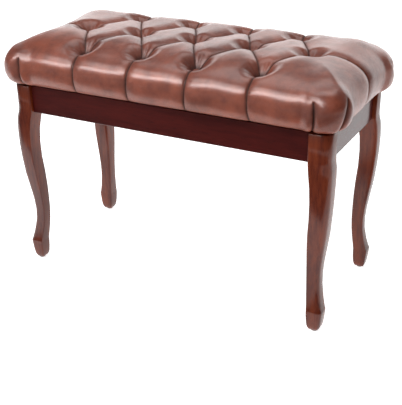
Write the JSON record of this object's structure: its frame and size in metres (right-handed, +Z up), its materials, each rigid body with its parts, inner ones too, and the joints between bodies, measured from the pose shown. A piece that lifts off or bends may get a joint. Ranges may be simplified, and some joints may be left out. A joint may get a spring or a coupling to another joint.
{
  "type": "piano bench",
  "caption": "Deep-tufted leather piano bench on a dark cabriole-leg frame; the padded seat hinges up over a shallow box for music.",
  "frame": {"origin": "on the floor under the middle of the frame", "axes": "+X along the bench towards its right end, +Y towards the hinged back, +Z up"},
  "size_m": [0.745, 0.343, 0.512],
  "materials": {
    "stained_wood": "dark red-brown stain under semi-gloss lacquer",
    "plywood": "bare sanded birch plywood",
    "brown_leather": "semi-gloss antiqued brown leather, darker in the folds",
    "foam": "upholstery foam under wadding",
    "twine": "waxed flax twine",
    "dust_cloth": "black cambric",
    "hinge_brass": "rolled brass, lightly dulled",
    "zinc_steel": "zinc-plated",
    "glide_nylon": "dark nylon",
    "bumper_rubber": "black rubber"
  },
  "bodies": {
    "frame": {"front_apron": "stained_wood", "rear_apron": "stained_wood", "left_apron": "stained_wood", "right_apron": "stained_wood", "front_left_leg": "stained_wood", "front_right_leg": "stained_wood", "rear_left_leg": "stained_wood", "rear_right_leg": "stained_wood", "corner_braces": "stained_wood", "brace_screws": "zinc_steel", "hanger_bolts": "zinc_steel", "leg_washers": "zinc_steel", "leg_nuts": "zinc_steel", "storage_floor": "plywood", "foot_glides": "glide_nylon", "lid_bumpers": "bumper_rubber", "hinge_frame_leaf": "hinge_brass", "hinge_pin": "hinge_brass", "frame_leaf_screws": "hinge_brass", "stay_frame_brackets": "zinc_steel", "stay_frame_screws": "zinc_steel", "stay_frame_rivets": "zinc_steel"},
    "lid": {"seat_board": "plywood", "hinge_lid_leaf": "hinge_brass", "lid_leaf_screws": "hinge_brass", "stay_lid_brackets": "zinc_steel", "stay_lid_screws": "zinc_steel", "stay_lid_rivets": "zinc_steel", "foam_pad": "foam", "leather_cover": "brown_leather", "tuft_buttons": "brown_leather", "button_twines": "twine", "twine_staples": "zinc_steel", "dust_cover": "dust_cloth", "cover_staples": "zinc_steel"},
    "left_lower_stay": {"left_lower_arm": "zinc_steel", "left_knuckle_rivet": "zinc_steel"},
    "left_upper_stay": {"left_upper_arm": "zinc_steel"},
    "right_lower_stay": {"right_lower_arm": "zinc_steel", "right_knuckle_rivet": "zinc_steel"},
    "right_upper_stay": {"right_upper_arm": "zinc_steel"}
  },
  "joints": [
    {"name": "lid_hinge", "type": "hinge", "parent": "frame", "child": "lid", "pos_m": [0, 0.16255, 0.4215], "axis": [-1, 0, 0], "range_deg": [0, 80]},
    {"name": "left_lower_pivot", "type": "hinge", "parent": "frame", "child": "left_lower_stay", "pos_m": [0, 0.06972, 0.3895], "axis": [-1, 0, 0], "range_deg": [0, 106.82]},
    {"name": "left_upper_pivot", "type": "hinge", "parent": "lid", "child": "left_upper_stay", "pos_m": [0, 0.05972, 0.4125], "axis": [-1, 0, 0], "range_deg": [-117.68, 0]},
    {"name": "right_lower_pivot", "type": "hinge", "parent": "frame", "child": "right_lower_stay", "pos_m": [0, 0.06972, 0.3895], "axis": [-1, 0, 0], "range_deg": [0, 106.82]},
    {"name": "right_upper_pivot", "type": "hinge", "parent": "lid", "child": "right_upper_stay", "pos_m": [0, 0.05972, 0.4125], "axis": [-1, 0, 0], "range_deg": [-117.68, 0]}
  ],
  "couplings": [
    {"joint": "left_lower_pivot", "follows": "lid_hinge", "ratio": 1.3346},
    {"joint": "left_upper_pivot", "follows": "lid_hinge", "ratio": -1.4704},
    {"joint": "right_lower_pivot", "follows": "lid_hinge", "ratio": 1.3346},
    {"joint": "right_upper_pivot", "follows": "lid_hinge", "ratio": -1.4704}
  ]
}
